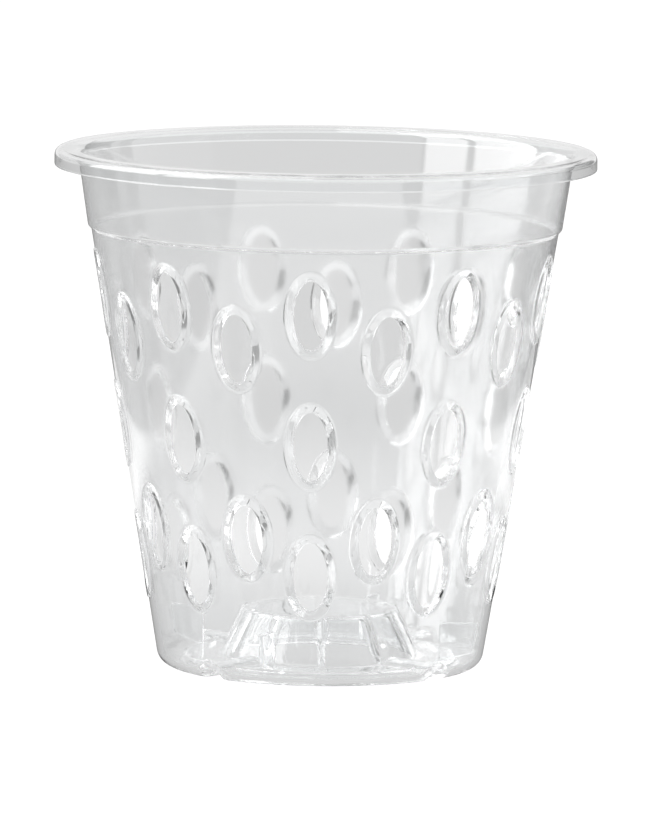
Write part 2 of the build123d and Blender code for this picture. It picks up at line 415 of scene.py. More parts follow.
class StudioLooks(PropertyGroup):
    """The white studio: its floor, its lamps and its camera."""

    floor_reach: FloatProperty(
        name="Floor reach",
        description="Half the side of the square floor",
        default=8.0,
        unit="LENGTH",
    )
    backdrop: FloatVectorProperty(
        name="Backdrop",
        description="Colour of the floor and the backdrop",
        default=(1.0, 1.0, 1.0),
        size=3,
        subtype="COLOR",
        min=0.0,
        max=1.0,
    )
    # Painted light: the floor's grey tones that the plastic shows, brighter near the pot than far
    # off.
    near_tone: FloatProperty(
        name="Near tone",
        description="Brightness of the floor beside the pot, as clear plastic shows it",
        default=0.84,
    )
    far_tone: FloatProperty(
        name="Far tone",
        description="Brightness of the far floor, as clear plastic shows it",
        default=0.65,
    )
    # Painted shade: share of the floor's brightness left under the pot, as clear plastic shows it.
    painted_shade_share: FloatProperty(
        name="Shade tone",
        description="Share of the brightness left under the pot, as clear plastic shows it",
        default=0.84,
    )
    # Painted light: a strip of floor on the left made brighter, as clear plastic shows it.
    left_painted_light: FloatProperty(
        name="Left tone",
        description="Brightness added to the floor on the left, as clear plastic shows it",
        default=0.12,
    )
    # Painted shade: a strip of floor on the right made darker, as clear plastic shows it.
    right_painted_shade: FloatProperty(
        name="Right tone",
        description="Brightness added to the floor on the right, as clear plastic shows it",
        default=-0.4,
    )
    # Painted reflection: a lit board under the pot, met only by light that the plastic mirrors.
    board_width: FloatProperty(
        name="Board width",
        description="Width of the lit board under the pot, as clear plastic mirrors it",
        default=0.5,
        unit="LENGTH",
    )
    painted_board_light: FloatProperty(
        name="Board tone",
        description="Brightness of the lit board, as clear plastic mirrors it",
        default=2.3,
    )
    painted_board_light_behind: FloatProperty(
        name="Board tone behind",
        description="Brightness of the board behind the pot, as the plastic mirrors it",
        default=0.9,
    )
    # Painted reflection of a dim room past the board.
    painted_room_reflection: FloatProperty(
        name="Room tone",
        description="Brightness of the dim room past the board, as clear plastic mirrors it",
        default=0.2,
    )
    camera_distance: FloatProperty(
        name="Camera distance",
        description="Level distance from the pot's axis to the camera",
        default=2.49956,
        unit="LENGTH",
    )
    camera_height: FloatProperty(
        name="Camera height",
        description="Height of the camera over the floor",
        default=0.38045,
        unit="LENGTH",
    )
    camera_turn: FloatProperty(
        name="Camera turn",
        description="How far the camera stands round to the right of the front",
        default=math.radians(3.31),
        unit="ROTATION",
    )
    camera_dip: FloatProperty(
        name="Camera dip",
        description="How far the camera looks down",
        default=0.12277,
        unit="ROTATION",
    )
    camera_yaw: FloatProperty(
        name="Camera yaw",
        description="How far the camera looks to the right of the axis",
        default=0.00023,
        unit="ROTATION",
    )
    camera_roll: FloatProperty(
        name="Camera roll",
        description="Roll of the camera about its own line of sight",
        default=0.01235,
        unit="ROTATION",
    )
    lens: FloatProperty(
        name="Lens",
        description="Focal length of the lens in millimetres",
        default=402.24,
    )


class PotShape:
    """The heights and radii that follow from the sizes, shared by the pieces."""

    def __init__(self, scene):
        rim = scene.pot_rim
        slots = scene.pot_slots
        base = scene.pot_base
        self.rim = rim
        self.slots = slots
        self.base = base
        self.band_slope = math.tan(rim.band_draft)
        self.wall_slope = math.tan(slots.wall_draft)
        self.wall_slant = math.hypot(1.0, self.wall_slope)
        self.wall_top = BAND_BOTTOM - rim.step_drop
        flange_under = RIM_HEIGHT - rim.thickness
        band_top_radius = RIM_RADIUS - rim.overhang
        self.band_foot_radius = band_top_radius - self.band_slope * (flange_under - BAND_BOTTOM)
        wall_top_radius = self.band_foot_radius - rim.step_width
        self.wall_foot_radius = wall_top_radius - self.wall_slope * self.wall_top
        corner_shift = base.corner * (self.wall_slope - self.wall_slant)
        self.corner_centre = self.wall_foot_radius + corner_shift
        self.foot_inner = self.corner_centre - base.foot_width
        self.cone_foot = self.foot_inner - base.floor_width
        self.cone_head = self.cone_foot - base.cone_lean

    def wall_radius(self, height):
        """Outer radius of the wall: its foot radius plus its slope times the height."""
        return self.wall_foot_radius + self.wall_slope * height

    def band_radius(self, height):
        """Outer radius of the band: its foot radius plus its slope times the height above."""
        return self.band_foot_radius + self.band_slope * (height - BAND_BOTTOM)

    def row_heights(self):
        """Heights of the five rows, from the first at the top to the fifth at the bottom."""
        first = self.wall_top - self.slots.top_margin
        fifth = WALL_BOTTOM + self.slots.bottom_margin
        middle = (first + fifth) / 2
        return [first, first - self.slots.stagger, middle, fifth + self.slots.stagger, fifth]


def spread(*stops, counts):
    """Values that run evenly from each stop to the next, with the given number of steps."""
    runs = [np.linspace(a, b, n, endpoint=False) for a, b, n in zip(stops, stops[1:], counts)]
    return np.concatenate(runs + [np.array([stops[-1]])])


def arc(centre, radius, start, end, steps):
    """Points on a circle in the profile's plane: centre + radius * (cos, sin) of the angle."""
    angle = np.radians(np.linspace(start, end, steps + 1))
    return np.column_stack([centre[0] + radius * np.cos(angle), centre[1] + radius * np.sin(angle)])


def line(start, end, steps):
    """Points that run evenly from start to end, both ends included."""
    along = np.linspace(0.0, 1.0, steps + 1)[:, None]
    return np.array(start) * (1 - along) + np.array(end) * along


def smooth_step(value):
    """The cubic 3v^2 - 2v^3 of a value clamped between 0 and 1: flat at both ends."""
    v = np.clip(value, 0.0, 1.0)
    return v * v * (3 - 2 * v)


def smooth_max(a, b, blend):
    """The greater of a and b, rounded over a blend: half of a + b + sqrt((a - b)^2 + blend^2)."""
    return 0.5 * (a + b + np.sqrt((a - b) ** 2 + blend**2))


def grid_faces(rows, columns, closed):
    """Quads between neighbouring rows of a grid, joined round where its columns are closed."""
    index = np.arange(rows * columns).reshape(rows, columns)
    following = np.roll(index, -1, axis=1)
    if not closed:
        index = index[:, :-1]
        following = following[:, :-1]
    quads = np.stack([index[:-1], following[:-1], following[1:], index[1:]], axis=-1)
    return quads.reshape(-1, 4)


class Patchwork:
    """Grids of points with their quads, gathered so that they can be welded into one mesh."""

    def __init__(self):
        self.points = []
        self.quads = []
        self.collars = []
        self.total = 0

    def add(self, points, closed=True, flipped=False, collar=0.0):
        """Adds a grid of points (rows, columns, 3), turned inside out where flipped is set.

        The collar mask is one value for the grid or one for each of its rows.
        """
        rows, columns = points.shape[:2]
        quads = grid_faces(rows, columns, closed)
        if flipped:
            quads = quads[:, ::-1]
        self.points.append(points.reshape(-1, 3))
        self.collars.append(np.repeat(np.broadcast_to(collar, rows), columns))
        self.quads.append(quads + self.total)
        self.total += rows * columns

    def build(self, name, weld):
        """A mesh object of all the grids, with points nearer than the weld joined."""
        mesh = bpy.data.meshes.new(name)
        mesh.from_pydata(np.concatenate(self.points), [], np.concatenate(self.quads))
        mask = mesh.attributes.new(COLLAR_MASK, "FLOAT", "POINT")
        mask.data.foreach_set("value", np.concatenate(self.collars).astype(np.float32))
        shell = bmesh.new()
        shell.from_mesh(mesh)
        bmesh.ops.remove_doubles(shell, verts=shell.verts, dist=weld)
        bmesh.ops.dissolve_degenerate(shell, edges=shell.edges, dist=weld)
        open_edges = [edge for edge in shell.edges if not edge.is_manifold]
        if open_edges:
            raise RuntimeError(f"{name} has {len(open_edges)} open edges")
        if shell.calc_volume(signed=True) < 0:
            bmesh.ops.reverse_faces(shell, faces=shell.faces)
        shell.to_mesh(mesh)
        shell.free()
        mesh.shade_smooth()
        mesh.set_sharp_from_angle(angle=SHARP_ANGLE)
        piece = bpy.data.objects.new(name, mesh)
        bpy.context.scene.collection.objects.link(piece)
        return piece


def column_angles(columns):
    """Turns of the upright lines of points round the pot, from half a strip left of the front."""
    strips = 2 * columns
    half_strip = math.pi / strips
    return np.linspace(-half_strip, 2 * math.pi - half_strip, strips * STRIP_STEPS, endpoint=False)


def round_the_axis(radius, height, turn):
    """Points at a radius and height, turned from the front at -Y towards +X."""
    x = radius * np.sin(turn)
    y = -radius * np.cos(turn)
    return np.stack(np.broadcast_arrays(x, y, height), axis=-1)


def slot_cell(shape, strip, middle, low, high, side_breaks, side_steps):
    """One cell of the wall round one slot: a grid of rings from its outer to its inner edge.

    The rings are ovals with half-axes grown by w from the slot's, x = (a + w) cos t along the wall
    and v = (b + w) sin t up its slant, at a depth d square out from the wall's outer face. The
    cell's four straight sides get the same parameter t = atan2(v / its reach, x / its reach), so
    that each point of a ring has its partner on the side. The profile (w, d) climbs the collar's
    bead, dips to the slot, runs in through it and turns out along the wall's inner face.
    """
    slots = shape.slots
    strips = 2 * slots.columns
    half_strip = math.pi / strips
    across = np.linspace(-half_strip, half_strip, STRIP_STEPS + 1)
    stops = [low] + [z for z in side_breaks if low < z < high] + [high]
    counts = [side_steps[z] for z in stops[:-1]]
    upright = spread(*stops, counts=counts)
    turn = np.concatenate([
        across[:-1],
        np.full(len(upright) - 1, half_strip),
        across[:0:-1],
        np.full(len(upright) - 1, -half_strip),
    ])
    height = np.concatenate([
        np.full(STRIP_STEPS, low),
        upright[:-1],
        np.full(STRIP_STEPS, high),
        upright[:0:-1],
    ])
    reach = np.where(height > middle, high - middle, middle - low)
    parameter = np.arctan2((height - middle) / reach, turn / half_strip)

    half_width = slots.width / 2
    half_length = slots.length / 2
    thickness = slots.wall_thickness
    profile = collar_profile(slots.collar_width, slots.collar_height, thickness)
    growth = profile[:, 0:1]
    depth = profile[:, 1:2]
    along = (half_width + growth) * np.cos(parameter)
    rise = (half_length + growth) * np.sin(parameter)
    ring_height = middle + rise / shape.wall_slant
    ring_radius = shape.wall_radius(ring_height) + depth / shape.wall_slant
    ring_turn = np.arcsin(along / ring_radius)
    dropped = depth * shape.wall_slope / shape.wall_slant

    def sheet(level):
        """Two rows from the cell's side to its first oval, at a level from the outer face."""
        oval = 0 if level == 0 else -1
        share = np.array([0.0, 0.5])[:, None]
        row_height = height * (1 - share) + ring_height[oval] * share
        row_turn = turn * (1 - share) + ring_turn[oval] * share
        row_radius = shape.wall_radius(row_height) + level / shape.wall_slant
        drop = level * shape.wall_slope / shape.wall_slant
        return row_radius, row_turn, row_height - drop

    outer = sheet(0.0)
    inner = [rows[::-1] for rows in sheet(-thickness)]
    radius = np.concatenate([outer[0], ring_radius, inner[0]])
    turn_all = np.concatenate([outer[1], ring_turn, inner[1]]) + strip * 2 * half_strip
    height_all = np.concatenate([outer[2], ring_height - dropped, inner[2]])
    plain = np.zeros(len(outer[0]))
    mask = np.concatenate([plain, [0.0, 0.0], np.ones(len(profile) - 4), [0.0, 0.0], plain])
    return round_the_axis(radius, height_all, turn_all), mask


def collar_profile(width, rise, thickness):
    """The collar's section as (w, d): from the wall's outer face over its bead and in by the slot.

    A low bead runs round the collar's outer edge. From it the outer face dips a little towards the
    slot, and the inner face is bevelled, so the wall thins to a narrow edge round the slot.
    """
    inner = -SLOT_EDGE
    return np.array([
        (width + 0.5 * MM, 0.0),
        (width + 0.25 * MM, 0.0),
        (width + 0.1 * MM, 0.12 * rise),
        (width - 0.08 * MM, 0.88 * rise),
        (width - 0.2 * MM, rise),
        (width - 0.4 * MM, rise - 0.03 * MM),
        (width * 0.5, 0.54 * rise),
        (0.2 * MM, 0.06 * rise),
        (0.05 * MM, -0.03 * MM),
        (0.0, -0.1 * MM),
        (0.0, inner + 0.1 * MM),
        (0.04 * MM, inner + 0.02 * MM),
        (0.15 * MM, inner - 0.04 * MM),
        (width * 0.5, 0.5 * (inner - thickness)),
        (width - 0.15 * MM, 0.06 * MM - thickness),
        (width + 0.1 * MM, -thickness),
        (width + 0.4 * MM, -thickness),
    ])


def flat_run(start, end):
    """Two points just inside the ends of a straight run, which keep its face flat beside bends."""
    along = (end - start) / np.linalg.norm(end - start)
    return np.array([start + along * FLAT_MARGIN, end - along * FLAT_MARGIN])


def rim_profile(shape):
    """Section of the step, the band and the rim, from the wall's outer top round to its inner top.

    The step is the wall's own line plus a smooth cubic swell, the band is straight, and the flange
    and the lip are straight runs between concentric arcs.
    """
    rim = shape.rim
    inset = shape.slots.wall_thickness / shape.wall_slant
    band_inset = rim.thickness * math.cos(rim.band_draft)
    band_rise = rim.thickness * math.sin(rim.band_draft)
    draft = math.degrees(rim.band_draft)
    flange_under = RIM_HEIGHT - rim.thickness
    bend_height = flange_under - rim.bend
    bend_radius = (
        shape.band_radius(bend_height + rim.bend * math.sin(rim.band_draft))
        + rim.bend * math.cos(rim.band_draft)
    )
    bend_centre = (bend_radius, bend_height)
    lip_inner = RIM_RADIUS - rim.thickness
    lip_centre = (lip_inner - rim.lip_bend, flange_under - rim.lip_bend)

    along = np.linspace(0.0, 1.0, STEP_POINTS)
    swell = smooth_step((along - STEP_FLAT) / (1 - 2 * STEP_FLAT))
    outer_z = shape.wall_top + rim.step_drop * along
    outer_r = shape.wall_radius(outer_z) * (1 - swell) + shape.band_radius(outer_z) * swell
    outer_step = np.column_stack([outer_r, outer_z])
    inner_radius = shape.wall_radius(shape.wall_top) - inset
    inner_low = (inner_radius, shape.wall_top + inset * shape.wall_slope)
    inner_high = (shape.band_foot_radius - band_inset, BAND_BOTTOM + band_rise)
    inner_z = inner_low[1] + (inner_high[1] - inner_low[1]) * along
    wall_line = inner_low[0] + shape.wall_slope * (inner_z - inner_low[1])
    band_line = inner_high[0] + shape.band_slope * (inner_z - inner_high[1])
    inner_step = np.column_stack([wall_line * (1 - swell) + band_line * swell, inner_z])[::-1]

    under_bend = arc(bend_centre, rim.bend, 180 - draft, 90, 5)
    lip_under = arc(lip_centre, rim.lip_bend, 90, 0, 4)
    edge_height = LIP_BOTTOM + LIP_EDGE
    lip_inner_edge = arc((lip_inner + LIP_EDGE, edge_height), LIP_EDGE, 180, 270, 3)
    lip_outer_edge = arc((RIM_RADIUS - LIP_EDGE, edge_height), LIP_EDGE, 270, 360, 3)
    lip_over = arc(lip_centre, rim.lip_bend + rim.thickness, 0, 90, 6)
    over_bend = arc(bend_centre, rim.bend + rim.thickness, 90, 180 - draft, 6)
    return np.concatenate([
        outer_step,
        flat_run(outer_step[-1], under_bend[0]),
        under_bend,
        flat_run(under_bend[-1], lip_under[0]),
        lip_under,
        flat_run(lip_under[-1], lip_inner_edge[0]),
        lip_inner_edge,
        lip_outer_edge,
        flat_run(lip_outer_edge[-1], lip_over[0]),
        lip_over,
        flat_run(lip_over[-1], over_bend[0]),
        over_bend,
        flat_run(over_bend[-1], inner_step[0]),
        inner_step,
    ])


def nearest_turn(turn, first, count):
    """Angle from a turn to the nearest of evenly spread turns, within half their pitch."""
    pitch = 2 * math.pi / count
    return (turn - first + pitch / 2) % pitch - pitch / 2


def base_grid(shape, turn, inside):
    """The base under the wall as a grid of points, its outer skin or its inside skin.

    Each skin is a section turned round the axis: the wall's line, the heel's arc, the foot, the
    riser, the floor, the cone and its cap. The ribs swell the cone by depth * cos^2 of the distance
    from the rib's middle, and the tunnels lift the floor to the greater of its own height and a
    round roof, sqrt(radius^2 - distance^2), rounded where the two meet.
    """
    base = shape.base
    thickness = shape.slots.wall_thickness
    depth = thickness if inside else 0.0
    heel = base.corner - depth
    lean = math.degrees(math.atan(shape.wall_slope))
    centre = (shape.corner_centre, base.corner)
    inset = depth / shape.wall_slant
    top = (shape.wall_radius(WALL_BOTTOM) - inset, WALL_BOTTOM + inset * shape.wall_slope)
    heel_arc = arc(centre, heel, -lean, -90, 8)
    floor = base.floor_top - (0.0 if inside else base.floor_thickness)
    riser = shape.foot_inner + depth
    cone_in = 0.0 if inside else thickness
    cone_foot = shape.cone_foot - cone_in
    cone_head = shape.cone_head - cone_in
    cap = CONE_TOP - (0.0 if inside else base.floor_thickness)
    ground = heel_arc[-1][1]
    floor_start = (riser - FLOOR_ROUND, floor)
    cone_low = (cone_foot - 0.15 * MM, floor + 0.75 * MM)
    cone_high = (cone_head + 0.25 * MM, cap - CAP_EDGE)
    section = np.concatenate([
        line(top, heel_arc[0], 3)[:-1],
        heel_arc,
        line(heel_arc[-1], (riser + FLOOR_ROUND, ground), 3)[1:],
        [(riser + 0.1 * MM, ground + 0.15 * MM), (riser, ground + FLOOR_ROUND)],
        [(riser, floor - FLOOR_ROUND), (riser - 0.1 * MM, floor - 0.15 * MM), floor_start],
        line(floor_start, (cone_foot + 0.8 * MM, floor), 6)[1:],
        [(cone_foot + 0.25 * MM, floor + 0.2 * MM), cone_low],
        line(cone_low, cone_high, 6)[1:],
        [(cone_head - 0.1 * MM, cap - 0.4 * MM), (cone_head - 0.45 * MM, cap - 0.1 * MM)],
        line((cone_head - CAP_EDGE, cap), (0.0, cap), 4),
    ])
    radius = section[:, 0:1] + 0.0 * turn
    height = section[:, 1:2] + 0.0 * turn
    on_side = smooth_step((height - floor) / RIB_FADE) * (radius < cone_foot + RIB_LIMIT)
    on_cone = on_side * smooth_step((radius - cone_head + CAP_EDGE) / CAP_EDGE)
    from_rib = nearest_turn(turn, base.rib_turn, base.rib_count) * radius
    rib = np.cos(np.clip(from_rib / base.rib_width, -0.5, 0.5) * math.pi) ** 2
    if inside:
        radius = radius + base.rib_depth * rib * on_cone
    from_tunnel = radius * np.sin(nearest_turn(turn, base.tunnel_turn, base.tunnel_count))
    roof_radius = base.tunnel_radius - (0.0 if inside else thickness)
    roof = np.sqrt(np.maximum(roof_radius**2 - from_tunnel**2, 0.0))
    roof = roof * smooth_step((radius - cone_foot + TUNNEL_START) / TUNNEL_FADE)
    lifted = smooth_max(height, roof, TUNNEL_BLEND)
    reached = (roof > TUNNEL_LEAST) & (height < base.tunnel_radius + TUNNEL_CLEAR)
    height = np.where(reached, lifted, height)
    return round_the_axis(radius, height, turn)


class POT_OT_shell(Operator):
    """Builds the clear shell: rim, band, step, slotted wall with collars, foot, floor and cone"""

    bl_idname = "object.orchid_pot_shell"
    bl_label = "Clear Shell"

    def execute(self, context):
        shape = PotShape(context.scene)
        columns = shape.slots.columns
        turns = column_angles(columns)
        rows = shape.row_heights()
        patches = Patchwork()

        between_even = [(rows[0] + rows[2]) / 2, (rows[2] + rows[4]) / 2]
        between_odd = (rows[1] + rows[3]) / 2
        breaks = [WALL_BOTTOM, between_even[1], between_odd, between_even[0]]
        side_steps = dict(zip(breaks, SIDE_STEPS))
        even_cells = [
            (rows[0], between_even[0], shape.wall_top),
            (rows[2], between_even[1], between_even[0]),
            (rows[4], WALL_BOTTOM, between_even[1]),
        ]
        odd_cells = [
            (rows[1], between_odd, shape.wall_top),
            (rows[3], WALL_BOTTOM, between_odd),
        ]
        for strip in range(2 * columns):
            for middle, low, high in odd_cells if strip % 2 else even_cells:
                cell, mask = slot_cell(shape, strip, middle, low, high, breaks, side_steps)
                patches.add(cell, collar=mask)

        section = rim_profile(shape)
        patches.add(round_the_axis(section[:, 0:1], section[:, 1:2], turns))
        patches.add(base_grid(shape, turns, inside=False), flipped=True)
        patches.add(base_grid(shape, turns, inside=True))
        piece = patches.build("pot_shell", WELD)
        piece.data.materials.append(clear_plastic(context.scene.pot_plastic))
        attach(piece, "root")
        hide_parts(*SHELL_NODES)
        return {"FINISHED"}


def lug_outline(shape):
    """Outline of a lug in its upright plane: up its inner edge, over its top and down the wall."""
    base = shape.base
    inset = shape.slots.wall_thickness * shape.wall_slant + LUG_GAP
    inner = shape.wall_foot_radius - base.lug_reach
    floor = base.floor_top + LUG_GAP
    riser = shape.foot_inner
    wall_at_top = shape.wall_radius(LUG_TOP) - inset
    wall_low = base.corner + LUG_HEEL
    wall_at_low = shape.wall_radius(wall_low) - inset
    bend_height = LUG_TOP - LUG_ROUND
    return np.concatenate([
        line((riser, floor), (inner, floor), 4)[:-1],
        line((inner, floor), (inner, bend_height), 6)[:-1],
        arc((inner + LUG_ROUND, bend_height), LUG_ROUND, 180, 90, 5)[:-1],
        line((inner + LUG_ROUND, LUG_TOP), (wall_at_top, LUG_TOP), 6)[:-1],
        line((wall_at_top, LUG_TOP), (wall_at_low, wall_low), 8)[:-1],
        line((wall_at_low, wall_low), (riser, floor), 6)[:-1],
    ])


def lug_grid(shape, turn):
    """A lug as rings of its outline carried through its thickness, with rounded edges.

    The outline is scaled towards its middle and moved sideways, so the rings run from the middle of
    one side, over the rounded edge, to the middle of the other side, and both sides are closed.
    """
    outline = lug_outline(shape)
    middle = outline.mean(axis=0)
    half = shape.base.lug_thickness / 2
    scale = np.array(LUG_SCALE)[:, None]
    side = np.array(LUG_SIDE)[:, None] * half
    radius = middle[0] + (outline[:, 0] - middle[0]) * scale
    height = middle[1] + (outline[:, 1] - middle[1]) * scale
    outward = np.array([math.sin(turn), -math.cos(turn)])
    sideways = np.array([math.cos(turn), math.sin(turn)])
    x = radius * outward[0] + side * sideways[0]
    y = radius * outward[1] + side * sideways[1]
    return np.stack([x, y, height], axis=-1)


class POT_OT_lugs(Operator):
    """Builds the stacking lugs inside the foot of the wall"""

    bl_idname = "object.orchid_pot_lugs"
    bl_label = "Stacking Lugs"

    def execute(self, context):
        shape = PotShape(context.scene)
        base = shape.base
        patches = Patchwork()
        for step in range(base.lug_count):
            patches.add(lug_grid(shape, base.lug_turn + step * 2 * math.pi / base.lug_count))
        piece = patches.build("stacking_lugs_clear", WELD)
        piece.data.materials.append(clear_plastic(context.scene.pot_plastic))
        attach(piece, "root")
        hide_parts("stacking_lugs")
        return {"FINISHED"}


def add_node(tree, kind, inputs, **settings):
    """A new node with its settings, each input set to a plain value or linked to another output."""
    node = tree.nodes.new(kind)
    for name, value in settings.items():
        setattr(node, name, value)
    for name, value in inputs.items():
        if isinstance(value, bpy.types.NodeSocket):
            tree.links.new(value, node.inputs[name])
        else:
            node.inputs[name].default_value = value
    return node


def calculate(tree, operation, *values):
    """The result of a Math node on plain values or other nodes' outputs."""
    inputs = dict(enumerate(values))
    return add_node(tree, "ShaderNodeMath", inputs, operation=operation).outputs["Value"]


def mix_number(tree, factor, a, b):
    """A number that goes from a to b as the factor goes from 0 to 1."""
    inputs = {"Factor": factor, "A": a, "B": b}
    return add_node(tree, "ShaderNodeMix", inputs, data_type="FLOAT").outputs["Result"]


def ramp(tree, value, start, end, low=0.0, high=1.0):
    """A number that turns smoothly from low to high as the value goes from start to end."""
    inputs = {"Value": value, "From Min": start, "From Max": end, "To Min": low, "To Max": high}
    node = add_node(tree, "ShaderNodeMapRange", inputs, interpolation_type="SMOOTHSTEP")
    return node.outputs["Result"]


def band_mask(tree, value, low, high, soft):
    """A mask that is one between two values and falls smoothly to none past each of them."""
    rise = ramp(tree, value, low - soft, low + soft)
    fall = ramp(tree, value, high - soft, high + soft, 1.0, 0.0)
    return calculate(tree, "MULTIPLY", rise, fall)


def new_material(name):
    """A material with an empty node tree, and that tree."""
    material = bpy.data.materials.new(name)
    material.use_nodes = True
    material.node_tree.nodes.clear()
    return material, material.node_tree


def moulded_skin_group():
    """Node group for the moulded skin: faint waves and flecks as a height, haze as roughness."""
    name = "moulded_skin"
    if name in bpy.data.node_groups:
        return bpy.data.node_groups[name]
    group = bpy.data.node_groups.new(name, "ShaderNodeTree")
    group.interface.new_socket("Vector", in_out="INPUT", socket_type="NodeSocketVector")
    for socket in ("Gloss", "Haze", "Mottle"):
        group.interface.new_socket(socket, in_out="INPUT", socket_type="NodeSocketFloat")
    for socket in ("Roughness", "Height"):
        group.interface.new_socket(socket, in_out="OUTPUT", socket_type="NodeSocketFloat")
    given = add_node(group, "NodeGroupInput", {}).outputs
    waves, clouds, flecks = (
        add_node(group, "ShaderNodeTexNoise", {"Vector": given["Vector"], **noise}).outputs["Fac"]
        for noise in (WAVE_NOISE, HAZE_NOISE, FLECK_NOISE)
    )
    patches = ramp(group, clouds, *HAZE_FROM_TO)
    add_node(group, "NodeGroupOutput", {
        "Roughness": calculate(group, "MULTIPLY_ADD", patches, given["Haze"], given["Gloss"]),
        "Height": calculate(group, "MULTIPLY_ADD", flecks, given["Mottle"], waves),
    })
    return group


def clear_plastic(looks):
    """The clear plastic: a see-through Principled shader that lets lamp light pass to the floor.

    The plain wall between the collars is a little rougher than the rim, the collars and the base.
    """
    name = "moulded_clear_plastic"
    if name in bpy.data.materials:
        return bpy.data.materials[name]
    material, tree = new_material(name)
    place = add_node(tree, "ShaderNodeTexCoord", {}).outputs["Object"]
    height = add_node(tree, "ShaderNodeSeparateXYZ", {"Vector": place}).outputs["Z"]
    collar = add_node(tree, "ShaderNodeAttribute", {}, attribute_name=COLLAR_MASK).outputs["Fac"]
    plain = calculate(tree, "SUBTRACT", 1.0, collar)
    upright = band_mask(tree, height, *FROST_HEIGHTS, FROST_SOFTNESS)
    wall = calculate(tree, "MULTIPLY", plain, upright)
    skin = add_node(tree, "ShaderNodeGroup", {
        "Vector": place,
        "Gloss": mix_number(tree, wall, looks.gloss, looks.frost),
        "Haze": looks.haze,
        "Mottle": calculate(tree, "MULTIPLY", collar, looks.mottle),
    }, node_tree=moulded_skin_group())
    bump = add_node(tree, "ShaderNodeBump", {
        "Distance": looks.ripple,
        "Height": skin.outputs["Height"],
    })
    plastic = add_node(tree, "ShaderNodeBsdfPrincipled", {
        "Base Color": (*looks.tint, 1.0),
        "IOR": looks.index,
        "Transmission Weight": 1.0,
        "Roughness": skin.outputs["Roughness"],
        "Normal": bump.outputs["Normal"],
    })
    passing = add_node(tree, "ShaderNodeBsdfTransparent", {"Color": (*SHADOW_TINT, 1.0)})
    ray = add_node(tree, "ShaderNodeLightPath", {}).outputs
    surface = add_node(tree, "ShaderNodeMixShader", {
        "Fac": calculate(tree, "MAXIMUM", ray["Is Shadow Ray"], ray["Is Diffuse Ray"]),
        1: plastic.outputs["BSDF"],
        2: passing.outputs["BSDF"],
    })
    add_node(tree, "ShaderNodeOutputMaterial", {"Surface": surface.outputs["Shader"]})
    return material


def studio_floor_material(looks):
    """The floor: white to the camera, with the pot's soft shadow.

    Light that has passed through the plastic meets a floor of painted light and shade: it turns
    from near_tone to far_tone with its distance from the pot, and has painted strips of light and
    shade at the sides. Light that it mirrors meets a painted reflection of a bright board and the
    dim room past it. All of it lies in painted shade under and beside the pot. From below, the
    floor is left out of the picture, so that the pot's underside can be seen.
    """
    material, tree = new_material("studio_floor")
    place = add_node(tree, "ShaderNodeTexCoord", {}).outputs["Object"]
    parts = add_node(tree, "ShaderNodeSeparateXYZ", {"Vector": place}).outputs
    across, along = parts["X"], parts["Y"]
    length = add_node(tree, "ShaderNodeVectorMath", {0: place}, operation="LENGTH")
    distance = length.outputs["Value"]
    ray = add_node(tree, "ShaderNodeLightPath", {}).outputs

    # painted reflection of a lit board and a dim room, with painted shade near the pot
    half = looks.board_width / 2
    board_width = band_mask(tree, across, -half, half, BOARD_SOFTNESS)
    board_length = band_mask(tree, along, -2 * half, 2 * half, BOARD_SOFTNESS)
    board = calculate(tree, "MULTIPLY", board_width, board_length)
    painted_lit_board = calculate(tree, "MULTIPLY", board, ramp(tree, distance, *BOARD_SHADE))
    painted_board_light = ramp(tree, along, *BOARD_FALL, looks.painted_board_light, looks.painted_board_light_behind)
    mirrored = mix_number(tree, painted_lit_board, looks.painted_room_reflection, painted_board_light)

    # painted light: the floor's tone for light that passed the plastic, brighter near the pot
    passed = ramp(tree, distance, *TONE_REACH, looks.near_tone, looks.far_tone)
    aside = calculate(tree, "MULTIPLY_ADD", along, math.tan(looks.camera_turn), across)
    # painted light on the left and painted shade on the right of the floor
    for (low, high, start), added in zip(PAINTED_SIDE_STRIPS, (looks.left_painted_light, looks.right_painted_shade)):
        strip_width = band_mask(tree, aside, low, high, STRIP_SOFTNESS)
        strip_length = band_mask(tree, along, start, STRIP_END, STRIP_SOFTNESS)
        strip = calculate(tree, "MULTIPLY", strip_width, strip_length)
        passed = calculate(tree, "MULTIPLY_ADD", strip, added, passed)

    met = mix_number(tree, ray["Is Reflection Ray"], passed, mirrored)
    # painted shade under and beside the pot, on all that the plastic shows of the floor
    shade = ramp(tree, distance, *SHADE_REACH, looks.painted_shade_share, 1.0)
    shaded = calculate(tree, "MULTIPLY", met, shade)
    colour = (*looks.backdrop, 1.0)
    matt = add_node(tree, "ShaderNodeBsdfDiffuse", {"Color": colour})
    glow = add_node(tree, "ShaderNodeEmission", {
        "Color": colour,
        "Strength": mix_number(tree, ray["Is Camera Ray"], shaded, FLOOR_WHITE),
    })
    above = add_node(tree, "ShaderNodeMixShader", {
        "Fac": calculate(tree, "MULTIPLY_ADD", ray["Is Camera Ray"], -FLOOR_MATT, 1.0),
        1: matt.outputs["BSDF"],
        2: glow.outputs["Emission"],
    })
    face = add_node(tree, "ShaderNodeNewGeometry", {})
    below = add_node(tree, "ShaderNodeBsdfTransparent", {})
    surface = add_node(tree, "ShaderNodeMixShader", {
        "Fac": calculate(tree, "MULTIPLY", face.outputs["Backfacing"], ray["Is Camera Ray"]),
        1: above.outputs["Shader"],
        2: below.outputs["BSDF"],
    })
    add_node(tree, "ShaderNodeOutputMaterial", {"Surface": surface.outputs["Shader"]})
    return material


